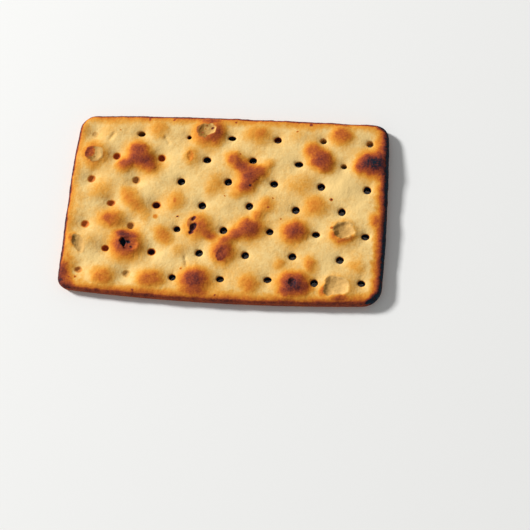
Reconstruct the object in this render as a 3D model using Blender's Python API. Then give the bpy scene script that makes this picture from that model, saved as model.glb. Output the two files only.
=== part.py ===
"""Water cracker: one thin sheet of baked dough, cut to a rounded rectangle with slightly bowed sides.

A docker has pricked it in rows, and the dough between the pins has risen in blisters, some of them
burst. Metres, +Z up. The cracker lies on its flat underside, centred on the origin, long side along
X. The sizes below are given from the middle of the docker's pattern.
"""

import math
import random

import bmesh
import bpy
from mathutils import Matrix

MM = 0.001

# Outline
HALF_LENGTH = 44.82 * MM
HALF_WIDTH = 25.93 * MM
OUTLINE_CENTRE = (-0.54 * MM, 0.40 * MM)
BOW_RIGHT, BOW_LEFT = 0.55 * MM, 0.06 * MM
BOW_BACK, BOW_FRONT = 0.57 * MM, 1.68 * MM
BOW_REACH = 3
# Radius of each corner, by its side (left -1, right 1) and its end (front -1, back 1)
CORNERS = {(-1, 1): 3.5 * MM, (1, 1): 3.8 * MM, (-1, -1): 2.9 * MM, (1, -1): 4.8 * MM}
# The back left corner has drawn in: that far off the left side, and off the back
DRAWN_LEFT, DRAWN_BACK = 1.4 * MM, 0.6 * MM

# Thickness, and the section of the edge: a soft shoulder, an upright wall and a small round foot,
# each loop with how far it lies inside the outline and its height
SHEET = 3.6 * MM
SHOULDER = 1.5 * MM
WALL_LOOPS = ((0.0, 0.6 * MM), (0.18 * MM, 0.18 * MM), (0.6 * MM, 0.0))

# Docker: seven rows of pins, alternately seven and six, each row half a pitch off the next
HALF_PITCH, ROW_PITCH = 6.55 * MM, 6.845 * MM
OUTER_COLUMN, OUTER_ROW = 6, 3
PIN_SIDES = 9
MOUTH_RADIUS, FOOT_RADIUS = 1.04 * MM, 0.72 * MM
PIN_WANDER = 0.12 * MM
THROUGH = -1.5
# Pins at the left went in less deep: column and row, and the height of the hole's floor in mm
SHALLOW_PINS = {
    (-6, 3): 2.5, (-6, 1): 2.1, (-6, -1): 2.1, (-6, -3): 2.2, (-5, 2): 1.9, (-5, 0): 1.9, (-5, -2): 1.6,
    (-4, 1): 1.9, (-4, -1): 1.9, (-4, -3): 2.2, (-3, 2): 1.5, (-3, 0): 1.3, (-3, -2): 1.3,
}
# Pins that strayed: column and row, then x and y off their place in mm, and how long and wide the hole
# is along x and y, as a share of the others
STRAYED_PINS = {
    (-6, 3): (-0.6, -0.3, 0.8, 0.7), (-4, 3): (0.0, 0.3, 1.05, 0.75), (-2, 3): (0.9, -0.2, 0.60, 0.55),
    (0, 3): (0.1, 0.0, 1.15, 0.6), (2, 3): (0.1, 0.0, 1.0, 0.85), (4, 3): (-0.1, 0.2, 0.9, 0.75),
    (6, 3): (-0.1, -0.1, 0.9, 0.85), (-1, 2): (0.1, 0.0, 1.05, 0.85), (1, 2): (0.05, 0.3, 1.0, 0.95),
    (3, 2): (0.0, -0.2, 1.15, 0.75), (5, 2): (-0.5, -0.3, 0.85, 0.65), (-6, 1): (0.05, -0.2, 1.0, 0.95),
    (0, 1): (0.1, 0.5, 1.0, 0.95), (2, 1): (0.0, 0.5, 1.0, 0.9), (4, 1): (0.1, 0.25, 1.0, 0.95),
    (6, 1): (-0.2, -0.2, 1.0, 1.0), (-5, 0): (0.05, -0.4, 1.1, 0.8), (-3, 0): (0.0, -0.4, 1.1, 0.85),
    (1, 0): (0.1, 0.5, 0.95, 0.95), (5, 0): (-0.3, 0.0, 0.95, 1.0), (-6, -1): (-0.15, 0.0, 1.0, 0.9),
    (-2, -1): (0.05, -0.35, 0.95, 0.8), (2, -1): (-0.15, 0.15, 0.95, 0.85), (4, -1): (-0.5, 0.0, 1.05, 0.75),
    (6, -1): (-0.1, 0.0, 1.1, 0.8), (-5, -2): (0.0, 0.0, 1.0, 0.8), (-3, -2): (0.0, -0.4, 1.05, 0.85),
    (-1, -2): (0.35, -0.1, 1.0, 0.9), (3, -2): (0.0, 0.2, 1.05, 0.9), (-6, -3): (-0.4, 0.3, 0.95, 0.7),
    (-4, -3): (0.2, -0.1, 1.0, 0.9), (-2, -3): (0.1, -0.6, 0.95, 0.85), (0, -3): (0.3, -0.35, 1.05, 0.75),
    (2, -3): (0.25, 0.15, 1.05, 0.75), (6, -3): (-0.5, 0.5, 1.0, 0.8),
}
ORDINARY_LONG, ORDINARY_WIDE = 1.0, 0.95

# Relief of the upper face
QUILT = 0.15 * MM
DIMPLE_DEPTH, DIMPLE_SPREAD = 0.52 * MM, 1.6 * MM
SHALLOW_DIMPLE = 1.5
BLISTER_RISE = 1.7 * MM
BLISTER_STEEPNESS, BLISTER_FLATNESS = 1.7, 2.7
LINES_PER_PITCH = 5
EDGE_INSETS = (0.0, 0.35 * MM, 0.9 * MM, 1.75 * MM)

# Blisters by row, back to front: x, y, half length and half width in mm, turn in degrees, and
# height as a share of BLISTER_RISE. Blisters that run together are several lobes.
BLISTERS = (
    (-34.6, 22.2, 3.4, 3.0, 0, 0.18), (-21.4, 22.6, 3.2, 3.6, 0, 0.28), (-6.9, 22.0, 4.7, 4.5, 0, 0.68),
    (-4.4, 21.7, 2.9, 4.4, -10, 0.34), (7.1, 22.1, 4.2, 3.2, 0, 0.24), (8.5, 22.6, 2.0, 1.8, 0, 0.08),
    (18.8, 21.8, 2.6, 2.6, 0, 0.14), (31.2, 22.4, 3.4, 3.5, 0, 0.44),

    (-39.2, 13.9, 4.6, 4.4, 0, 0.46), (-26.4, 15.3, 3.9, 3.4, 0, 0.66), (-29.6, 11.5, 3.5, 2.5, 25, 0.46),
    (-26.8, 12.7, 3.6, 2.9, 0, 0.30), (-23.7, 12.2, 4.0, 3.2, -35, 0.62), (-22.2, 10.7, 1.8, 1.5, -40, 0.20),
    (-11.2, 14.2, 2.6, 3.2, 0, 0.26), (1.3, 13.9, 2.9, 2.4, -45, 0.56), (3.8, 12.0, 3.4, 2.6, -40, 0.50),
    (6.3, 9.3, 3.8, 3.5, 0, 0.70), (5.3, 6.2, 3.3, 2.8, 20, 0.50), (9.2, 10.6, 3.0, 2.4, 45, 0.36),
    (11.3, 12.9, 2.4, 1.8, 45, 0.28), (3.2, 3.6, 2.4, 1.8, 0, 0.20), (23.2, 17.6, 2.7, 3.0, -20, 0.44),
    (26.0, 14.7, 4.3, 3.7, -40, 0.70), (27.4, 12.4, 2.8, 2.0, 0, 0.30), (39.8, 14.1, 4.9, 4.2, 0, 0.74),
    (42.5, 14.0, 2.6, 4.6, 0, 0.30), (37.2, 12.9, 2.6, 2.4, 0, 0.30),

    (-36.0, 3.5, 4.4, 3.6, 20, 0.20), (-20.2, 7.2, 3.0, 3.0, 0, 0.10), (-3.7, 5.9, 3.2, 3.8, 0, 0.20),
    (20.2, 7.6, 4.4, 3.8, 0, 0.20), (32.8, 7.0, 3.4, 3.4, 0, 0.12), (42.6, 7.4, 2.2, 3.2, 0, 0.14),

    (-42.2, 1.0, 2.2, 2.6, 0, 0.16), (-27.8, 1.5, 4.0, 2.7, -58, 0.30), (-25.1, -1.1, 3.6, 2.6, -38, 0.27),
    (-22.4, -4.0, 1.9, 2.6, 0, 0.14), (-14.1, 0.9, 3.3, 3.5, 0, 0.26), (-0.3, 1.0, 3.0, 3.0, 0, 0.10),
    (11.1, 0.5, 2.5, 2.9, -20, 0.30), (9.4, -2.2, 2.4, 2.0, 50, 0.32), (25.3, 1.2, 3.6, 3.4, 0, 0.34),
    (42.3, -2.4, 2.8, 2.9, 0, 0.36),

    (-32.0, -5.0, 4.2, 3.5, 0, 0.38), (-16.7, -9.3, 3.8, 2.7, -35, 0.28), (-7.0, -6.2, 4.6, 4.3, 0, 0.64),
    (-5.8, -6.6, 3.0, 3.4, -40, 0.10), (-3.4, -8.9, 2.8, 1.9, -30, 0.24), (7.4, -6.1, 4.4, 3.4, 20, 0.64),
    (4.0, -7.9, 3.7, 2.5, 25, 0.46), (1.2, -9.8, 2.8, 1.9, 20, 0.40), (19.8, -6.4, 3.9, 3.5, 0, 0.66),
    (33.4, -5.9, 4.7, 4.3, 0, 0.56), (33.4, -8.6, 3.9, 1.8, 5, 0.12), (30.4, -7.0, 1.8, 2.4, 30, 0.06),

    (-42.3, -11.7, 2.4, 1.8, -62, 0.36), (-38.6, -11.6, 3.2, 2.8, 0, 0.18), (-26.6, -12.5, 5.3, 4.9, 0, 0.70),
    (-26.8, -9.8, 4.4, 1.8, -4, 0.08), (-12.2, -13.4, 2.6, 2.4, 0, 0.20), (0.4, -12.9, 3.8, 4.0, 0, 0.64),
    (16.2, -15.9, 1.8, 2.0, 0, 0.20), (24.7, -15.9, 2.2, 2.7, 0, 0.28), (37.3, -15.4, 2.8, 2.4, 0, 0.18),

    (-32.4, -22.1, 3.8, 3.3, 0, 0.46), (-19.2, -22.1, 4.5, 3.3, 0, 0.46), (-6.8, -21.6, 4.9, 4.0, 0, 0.72),
    (-6.8, -24.7, 5.2, 2.6, 0, 0.16), (8.6, -22.1, 3.2, 3.2, 0, 0.34), (20.5, -21.5, 5.0, 4.2, 0, 0.76),
    (23.0, -22.0, 2.9, 2.9, 0, 0.20), (18.2, -23.2, 2.8, 2.4, 0, 0.16), (32.4, -22.0, 4.9, 4.0, 0, 0.52),
    (33.2, -24.8, 3.6, 1.5, 0, 0.08),
)

# Burst blisters: x, y, half length and half width in mm, turn in degrees, and the heights in mm of
# the broken hollow's floor and of its rim
BURSTS = (
    (-39.1, 13.9, 2.5, 2.4, 0, 4.0, 4.35), (-7.4, 22.3, 2.7, 2.1, 8, 4.0, 4.7),
    (-11.3, 14.5, 1.5, 0.9, 100, 3.75, 4.0), (-9.3, -5.6, 1.7, 1.0, 95, 4.2, 4.6),
    (-25.9, -12.4, 2.6, 1.9, -10, 3.9, 4.5), (33.3, -5.4, 2.8, 2.5, 0, 3.4, 4.4),
    (31.9, -21.3, 3.6, 2.5, 0, 3.4, 4.3), (-40.4, -12.9, 2.9, 1.5, -62, 3.4, 4.0),
    (20.3, -20.9, 1.1, 1.1, 0, 4.35, 4.9), (0.2, -14.4, 2.0, 1.4, 75, 4.5, 4.8),
)
# Pits where a blister burnt through, in the same terms
PITS = ((-8.7, -6.6, 2.4, 0.9, 88, 3.1, 4.5), (-27.6, -12.0, 0.75, 1.3, 0, 2.4, 4.2))
BURST_SIDES = 12
BURST_RAGGED = 0.12
BOWL_RINGS = (0, 35, 65)
OVER_TOP = 7.0

CRUST_COLOUR = (0.80, 0.46, 0.17, 1.0)
CRUST_ROUGHNESS = 0.75


def clear_scene():
    for old in list(bpy.data.objects):
        bpy.data.objects.remove(old)


def baked_crust():
    crust = bpy.data.materials.new("baked_crust")
    crust.use_nodes = True
    shader = crust.node_tree.nodes["Principled BSDF"]
    shader.inputs["Base Color"].default_value = CRUST_COLOUR
    shader.inputs["Roughness"].default_value = CRUST_ROUGHNESS
    shader.inputs["Metallic"].default_value = 0.0
    return crust


def plan(u, v):
    """Takes a point of the plain rectangle to the real outline's shape: x, y and distance from the edge."""
    side, end = math.copysign(1, u), math.copysign(1, v)
    radius = CORNERS[side, end]
    p = (abs(u) - HALF_LENGTH + radius) / radius
    q = (abs(v) - HALF_WIDTH + radius) / radius
    if p > 0 and q > 0:
        p, q = p * math.sqrt(1 - q * q / 2), q * math.sqrt(1 - p * p / 2)
        inset = radius * (1 - math.hypot(p, q))
    else:
        inset = min(HALF_LENGTH - abs(u), HALF_WIDTH - abs(v))
    x = side * (HALF_LENGTH - radius + p * radius)
    y = end * (HALF_WIDTH - radius + q * radius)
    across, along = x / HALF_LENGTH, y / HALF_WIDTH
    bow_x = BOW_RIGHT if side > 0 else BOW_LEFT
    bow_y = BOW_BACK if end > 0 else BOW_FRONT
    x += bow_x * (1 - along**2) * across * abs(across) ** (BOW_REACH - 1)
    y += bow_y * (1 - across**2) * along * abs(along) ** (BOW_REACH - 1)
    leftness, backness = max(-across, 0), max(along, 0)
    x += DRAWN_LEFT * leftness * backness**3
    y -= DRAWN_BACK * leftness**6 * backness
    return x + OUTLINE_CENTRE[0], y + OUTLINE_CENTRE[1], inset


def moved_in(u, v, inset):
    return u * (1 - inset / HALF_LENGTH), v * (1 - inset / HALF_WIDTH)


def nearness(x, y, lobe):
    """1 over the flat top of an oval, about 0.2 at its edge and nothing a little way outside."""
    middle_x, middle_y, half_long, half_wide, turn = lobe
    angle = math.radians(turn)
    dx, dy = x / MM - middle_x, y / MM - middle_y
    along = (dx * math.cos(angle) + dy * math.sin(angle)) / half_long
    aside = (dy * math.cos(angle) - dx * math.sin(angle)) / half_wide
    return math.exp(-BLISTER_STEEPNESS * math.hypot(along, aside) ** BLISTER_FLATNESS)


def docker_pins():
    """Each pin's x and y, how long and wide its hole is, and the height of the hole's floor, which is
    below the underside for a hole right through."""
    wander = random.Random(7)
    pins = []
    for row in range(-OUTER_ROW, OUTER_ROW + 1):
        for column in range(-OUTER_COLUMN, OUTER_COLUMN + 1):
            if (row + column) % 2:
                loose = wander.uniform(-PIN_WANDER, PIN_WANDER), wander.uniform(-PIN_WANDER, PIN_WANDER)
                off_x, off_y, long, wide = STRAYED_PINS.get(
                    (column, row), (loose[0] / MM, loose[1] / MM, ORDINARY_LONG, ORDINARY_WIDE))
                x, y = column * HALF_PITCH + off_x * MM, row * ROW_PITCH + off_y * MM
                pins.append((x, y, long, wide, SHALLOW_PINS.get((column, row), THROUGH) * MM))
    return pins


def upper_face(x, y, inset, pins):
    """Height of the upper face over a point of the plan."""
    quilt = math.cos(math.pi * x / HALF_PITCH) * math.cos(math.pi * y / ROW_PITCH)
    unraised = 1.0
    for *lobe, share in BLISTERS:
        unraised *= 1 - share * nearness(x, y, lobe)
    dimple = 0.0
    for pin_x, pin_y, _, _, floor in pins:
        wider = SHALLOW_DIMPLE if floor > 0 else 1
        away = math.hypot(x - pin_x, y - pin_y) / (DIMPLE_SPREAD * wider)
        dimple = max(dimple, wider * math.exp(-away * away))
    height = SHEET + QUILT * quilt + BLISTER_RISE * (1 - unraised) - DIMPLE_DEPTH * dimple
    if inset < SHOULDER:
        height -= SHOULDER - math.sqrt(SHOULDER**2 - (SHOULDER - inset) ** 2)
    return height


def grid_lines(half, pitch, centre):
    """Lines across the rectangle: close together at each edge, and on the docker's pattern between."""
    step = pitch / LINES_PER_PITCH
    room = half - EDGE_INSETS[-1] - step / 2
    inner = [n * step - centre for n in range(-99, 100) if abs(n * step - centre) < room]
    edge = [half - inset for inset in EDGE_INSETS]
    return [-e for e in edge] + inner + edge[::-1]


def around(columns, rows):
    """Grid places along the border, once round, anticlockwise from above."""
    front = [(c, 0) for c in range(columns - 1)]
    right = [(columns - 1, r) for r in range(rows - 1)]
    back = [(c, rows - 1) for c in range(columns - 1, 0, -1)]
    left = [(0, r) for r in range(rows - 1, 0, -1)]
    return front + right + back + left


def dough_sheet(pins):
    """The risen sheet without its holes: a fine grid above, the wall round it and one flat face below."""
    mesh = bmesh.new()
    us = grid_lines(HALF_LENGTH, HALF_PITCH, OUTLINE_CENTRE[0])
    vs = grid_lines(HALF_WIDTH, ROW_PITCH, OUTLINE_CENTRE[1])
    upper = {}
    for c, u in enumerate(us):
        for r, v in enumerate(vs):
            x, y, inset = plan(u, v)
            upper[c, r] = mesh.verts.new((x, y, upper_face(x, y, inset, pins)))
    for c in range(len(us) - 1):
        for r in range(len(vs) - 1):
            mesh.faces.new((upper[c, r], upper[c + 1, r], upper[c + 1, r + 1], upper[c, r + 1]))

    border = around(len(us), len(vs))
    loops = [[upper[place] for place in border]]
    for inset, height in WALL_LOOPS:
        loop = []
        for c, r in border:
            x, y, _ = plan(*moved_in(us[c], vs[r], inset))
            loop.append(mesh.verts.new((x, y, height)))
        loops.append(loop)
    for above, below in zip(loops, loops[1:]):
        for n in range(len(border)):
            m = (n + 1) % len(border)
            mesh.faces.new((above[n], below[n], below[m], above[m]))
    mesh.faces.new(loops[-1][::-1])
    return mesh


def add_pin(mesh, pin):
    """An oval plug that tapers from over the sheet down to the hole's floor."""
    x, y, long, wide, floor = pin
    top = OVER_TOP * MM
    taper = (MOUTH_RADIUS - FOOT_RADIUS) / SHEET
    place = (Matrix.Translation((x, y, (floor + top) / 2)) @ Matrix.Diagonal((long, wide, 1, 1))
             @ Matrix.Rotation(x + y, 4, "Z"))
    bmesh.ops.create_cone(mesh, cap_ends=True, segments=PIN_SIDES, depth=top - floor, matrix=place,
                          radius1=FOOT_RADIUS + taper * floor, radius2=FOOT_RADIUS + taper * top)


def add_burst(mesh, burst, seed):
    """A ragged oval plug with a round bottom, which leaves the bowl of a broken blister."""
    x, y, half_long, half_wide, turn, floor, rim = burst
    ragged = random.Random(seed)
    angle = math.radians(turn)
    outline = []
    for n in range(BURST_SIDES):
        bearing = 2 * math.pi * n / BURST_SIDES
        reach = 1 + ragged.uniform(-BURST_RAGGED, BURST_RAGGED)
        along = half_long * reach * math.cos(bearing)
        aside = half_wide * reach * math.sin(bearing)
        dx = along * math.cos(angle) - aside * math.sin(angle)
        dy = along * math.sin(angle) + aside * math.cos(angle)
        outline.append((dx, dy))
    levels = [(OVER_TOP, 1.0)]
    for degrees in BOWL_RINGS:
        down = math.radians(degrees)
        levels.append((rim - (rim - floor) * math.sin(down), math.cos(down)))
    rings = []
    for height, spread in levels:
        rings.append([mesh.verts.new(((x + dx * spread) * MM, (y + dy * spread) * MM, height * MM))
                      for dx, dy in outline])
    mesh.faces.new(rings[0])
    for above, below in zip(rings, rings[1:]):
        for n in range(BURST_SIDES):
            m = (n + 1) % BURST_SIDES
            mesh.faces.new((above[n], below[n], below[m], above[m]))
    bottom = mesh.verts.new((x * MM, y * MM, floor * MM))
    for n in range(BURST_SIDES):
        m = (n + 1) % BURST_SIDES
        mesh.faces.new((rings[-1][m], rings[-1][n], bottom))


def as_object(mesh, name):
    bmesh.ops.recalc_face_normals(mesh, faces=mesh.faces)
    data = bpy.data.meshes.new(name)
    mesh.to_mesh(data)
    mesh.free()
    made = bpy.data.objects.new(name, data)
    bpy.context.scene.collection.objects.link(made)
    return made


def as_cutter(mesh, name):
    cutter = as_object(mesh, name)
    cutter.hide_render = True
    cutter.display_type = "WIRE"
    return cutter


def cut(piece, cutter, name):
    hollow = piece.modifiers.new(name, "BOOLEAN")
    hollow.operation = "DIFFERENCE"
    hollow.object = cutter


def set_on_origin(objects, sheet):
    """Moves the meshes so that the middle of the sheet's box stands on the origin."""
    for axis in (0, 1):
        places = [v.co[axis] for v in sheet.data.vertices]
        shift = [0.0, 0.0, 0.0]
        shift[axis] = -(min(places) + max(places)) / 2
        for each in objects:
            each.data.transform(Matrix.Translation(shift))


def water_cracker():
    pins = docker_pins()
    cracker = as_object(dough_sheet(pins), "cracker")
    cracker.data.materials.append(baked_crust())

    plugs = bmesh.new()
    for pin in pins:
        add_pin(plugs, pin)
    for seed, burst in enumerate(BURSTS):
        add_burst(plugs, burst, seed)
    plugs = as_cutter(plugs, "pin_and_burst_plugs")
    deep = bmesh.new()
    for seed, pit in enumerate(PITS):
        add_burst(deep, pit, seed)
    deep = as_cutter(deep, "pit_plugs")
    set_on_origin((cracker, plugs, deep), cracker)

    cut(cracker, plugs, "pricked_and_burst")
    cut(cracker, deep, "burnt_through")
    cracker.data.shade_smooth()
    cracker.data.set_sharp_from_angle(angle=math.radians(40))


clear_scene()
water_cracker()
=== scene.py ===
import math
import random

import bmesh
import bpy
import numpy as np
from mathutils import Matrix, Vector, noise


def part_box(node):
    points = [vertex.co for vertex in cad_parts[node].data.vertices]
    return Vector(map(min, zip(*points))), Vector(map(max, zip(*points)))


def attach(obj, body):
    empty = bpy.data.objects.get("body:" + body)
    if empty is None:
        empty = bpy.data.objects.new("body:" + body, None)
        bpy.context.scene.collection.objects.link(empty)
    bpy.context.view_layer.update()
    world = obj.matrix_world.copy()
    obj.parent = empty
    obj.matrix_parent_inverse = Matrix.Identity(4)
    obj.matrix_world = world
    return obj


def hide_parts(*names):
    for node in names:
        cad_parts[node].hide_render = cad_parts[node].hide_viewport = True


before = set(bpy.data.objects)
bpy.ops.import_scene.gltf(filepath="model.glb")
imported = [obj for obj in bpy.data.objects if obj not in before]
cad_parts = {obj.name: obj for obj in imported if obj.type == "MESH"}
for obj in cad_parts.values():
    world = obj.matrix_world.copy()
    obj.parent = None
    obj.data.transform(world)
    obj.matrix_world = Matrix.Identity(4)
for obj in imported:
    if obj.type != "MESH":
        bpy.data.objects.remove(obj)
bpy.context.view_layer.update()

MM = 0.001

# ---------------------------------------------------------------- the sheet of dough
# The outline comes from the solid's box. Places are measured from the middle of the docker's
# pattern of pins, which stands a little off the middle of the box.

# How far each side bows out halfway along it, and how fast that dies away towards the middle
BOW_RIGHT, BOW_LEFT = 0.55 * MM, 0.06 * MM
BOW_BACK, BOW_FRONT = 0.57 * MM, 1.68 * MM
BOW_REACH = 3
BOX_LOW, BOX_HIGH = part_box("cracker")
HALF_LENGTH = (BOX_HIGH.x - BOX_LOW.x - BOW_LEFT - BOW_RIGHT) / 2
HALF_WIDTH = (BOX_HIGH.y - BOX_LOW.y - BOW_FRONT - BOW_BACK) / 2
OUTLINE_CENTRE = (-0.54 * MM, 0.40 * MM)
PATTERN_CENTRE = (
    -OUTLINE_CENTRE[0] - (BOW_RIGHT - BOW_LEFT) / 2,
    -OUTLINE_CENTRE[1] - (BOW_BACK - BOW_FRONT) / 2,
)
# The radius of each corner: left -1 or right 1, then front -1 or back 1
CORNERS = {(-1, 1): 3.5 * MM, (1, 1): 3.8 * MM, (-1, -1): 2.9 * MM, (1, -1): 4.8 * MM}
# The back left corner has drawn in: how far off the left side and off the back, and how fast that
# dies away along each of the two
DRAWN_LEFT, DRAWN_BACK = 1.4 * MM, 0.6 * MM
DRAWN_LEFT_FADE, DRAWN_BACK_FADE = 3, 6
# The thickness between blisters, the radii of the upper and the lower edge, and in how many steps
# each rounding is made
SHEET = 3.6 * MM
SHOULDER = 1.5 * MM
FOOT = 0.6 * MM
CORNER_STEPS, SHOULDER_STEPS, FOOT_STEPS = 12, 6, 3
CLOSE = MM / 10

# The docker: half the distance between two pins of a row, the distance between rows, the outermost
# column and row, and the radii of a hole at the sheet's upper face and at its underside
HALF_PITCH, ROW_PITCH = 6.55 * MM, 6.845 * MM
OUTER_COLUMN, OUTER_ROW = 6, 3
MOUTH_RADIUS, FOOT_RADIUS = 1.04 * MM, 0.72 * MM
# How far a pin wanders off its place, and how long, wide and ragged its hole is, as shares of the
# radius
PIN_WANDER = 0.12 * MM
ORDINARY_HOLE = (1.0, 0.95)
PIN_RAGGED = 0.07
PIN_SIDES = 20
# The ordinary pin went right through and left a burnt hole, painted near-black with the deep shade
# inside it: the height in mm of the plug's lower end, how far the hole has browned, painted shade
# included, and how far a painted glow of light through thin dough turns it orange-red
THROUGH = -3.0
THROUGH_PIN = (THROUGH, 1.0, 0.0)
# Pins at the left went in less deep, and in the back row, and one hole before it, less deep shade is
# painted: column and row, then the same
OTHER_PINS = {
    (-6, 3): (2.5, 0.16, 0.0), (-6, 1): (2.1, 0.46, 0.30),
    (-6, -1): (2.1, 0.44, 0.42), (-6, -3): (2.2, 0.36, 0.20),
    (-5, 2): (1.9, 0.56, 0.12), (-5, 0): (1.9, 0.48, 0.34), (-5, -2): (1.6, 0.60, 0.12),
    (-4, 1): (1.9, 0.36, 0.10), (-4, -1): (1.9, 0.32, 0.10), (-4, -3): (2.2, 0.20, 0.0),
    (-3, 2): (1.5, 0.58, 0.15), (-3, 0): (1.3, 0.76, 0.0), (-3, -2): (1.3, 0.84, 0.0),
    (-4, 3): (THROUGH, 0.45, 0.0), (-2, 3): (THROUGH, 0.80, 0.0), (2, 3): (THROUGH, 0.72, 0.0),
    (4, 3): (THROUGH, 0.28, 0.0), (6, 3): (THROUGH, 0.28, 0.0), (5, 2): (THROUGH, 0.42, 0.0),
}
# Pins that strayed: column and row, then x and y off their place in mm, and how long and wide the hole
# is along x and y, as shares of the radius
STRAYED_PINS = {
    (-6, 3): (-0.6, -0.3, 0.8, 0.7), (-4, 3): (0.0, 0.3, 1.05, 0.75), (-2, 3): (0.9, -0.2, 0.60, 0.55),
    (0, 3): (0.1, 0.0, 1.15, 0.6), (2, 3): (0.1, 0.0, 1.0, 0.85), (4, 3): (-0.1, 0.2, 0.9, 0.75),
    (6, 3): (-0.1, -0.1, 0.9, 0.85), (-1, 2): (0.1, 0.0, 1.05, 0.85), (1, 2): (0.05, 0.3, 1.0, 0.95),
    (3, 2): (0.0, -0.2, 1.15, 0.75), (5, 2): (-0.5, -0.3, 0.85, 0.65), (-6, 1): (0.05, -0.2, 1.0, 0.95),
    (0, 1): (0.1, 0.5, 1.0, 0.95), (2, 1): (0.0, 0.5, 1.0, 0.9), (4, 1): (0.1, 0.25, 1.0, 0.95),
    (6, 1): (-0.2, -0.2, 1.0, 1.0), (-5, 0): (0.05, -0.4, 1.1, 0.8), (-3, 0): (0.0, -0.4, 1.1, 0.85),
    (1, 0): (0.1, 0.5, 0.95, 0.95), (5, 0): (-0.3, 0.0, 0.95, 1.0), (-6, -1): (-0.15, 0.0, 1.0, 0.9),
    (-2, -1): (0.05, -0.35, 0.95, 0.8), (2, -1): (-0.15, 0.15, 0.95, 0.85),
    (4, -1): (-0.5, 0.0, 1.05, 0.75), (6, -1): (-0.1, 0.0, 1.1, 0.8), (-5, -2): (0.0, 0.0, 1.0, 0.8),
    (-3, -2): (0.0, -0.4, 1.05, 0.85), (-1, -2): (0.35, -0.1, 1.0, 0.9), (3, -2): (0.0, 0.2, 1.05, 0.9),
    (-6, -3): (-0.4, 0.3, 0.95, 0.7), (-4, -3): (0.2, -0.1, 1.0, 0.9), (-2, -3): (0.1, -0.6, 0.95, 0.85),
    (0, -3): (0.3, -0.35, 1.05, 0.75), (2, -3): (0.25, 0.15, 1.05, 0.75), (6, -3): (-0.5, 0.5, 1.0, 0.8),
}

# The face: how high the dough stands between the pins, how deep and wide each pin drew it down, and
# how many times that for a pin that didn't go through
QUILT = 0.15 * MM
DIMPLE_DEPTH, DIMPLE_SPREAD = 0.52 * MM, 1.6 * MM
SHALLOW_DIMPLE = 1.5
# A full blister's height, how steep its flank is and how flat its top
BLISTER_RISE = 1.7 * MM
BLISTER_STEEPNESS, BLISTER_FLATNESS = 1.7, 2.7
# Its outline strays from a plain oval in wide and in short waves: how far, how long a wave is, and
# its seed in the noise
OUTLINE_WAVES_X = ((0.6 * MM, 3.4 * MM, 1), (0.3 * MM, 1.2 * MM, 2))
OUTLINE_WAVES_Y = ((0.6 * MM, 3.4 * MM, 3), (0.3 * MM, 1.2 * MM, 4))
# The dough is raised from this height up, little at first and fully at the upper face
RAISED_FROM = 0.3 * SHEET
# The finest shape that is modelled: in the crust, and in plugs that are melted into one
FINEST, FINEST_BURST, FINEST_PIT = 0.30 * MM, 0.2 * MM, 0.12 * MM

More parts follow.
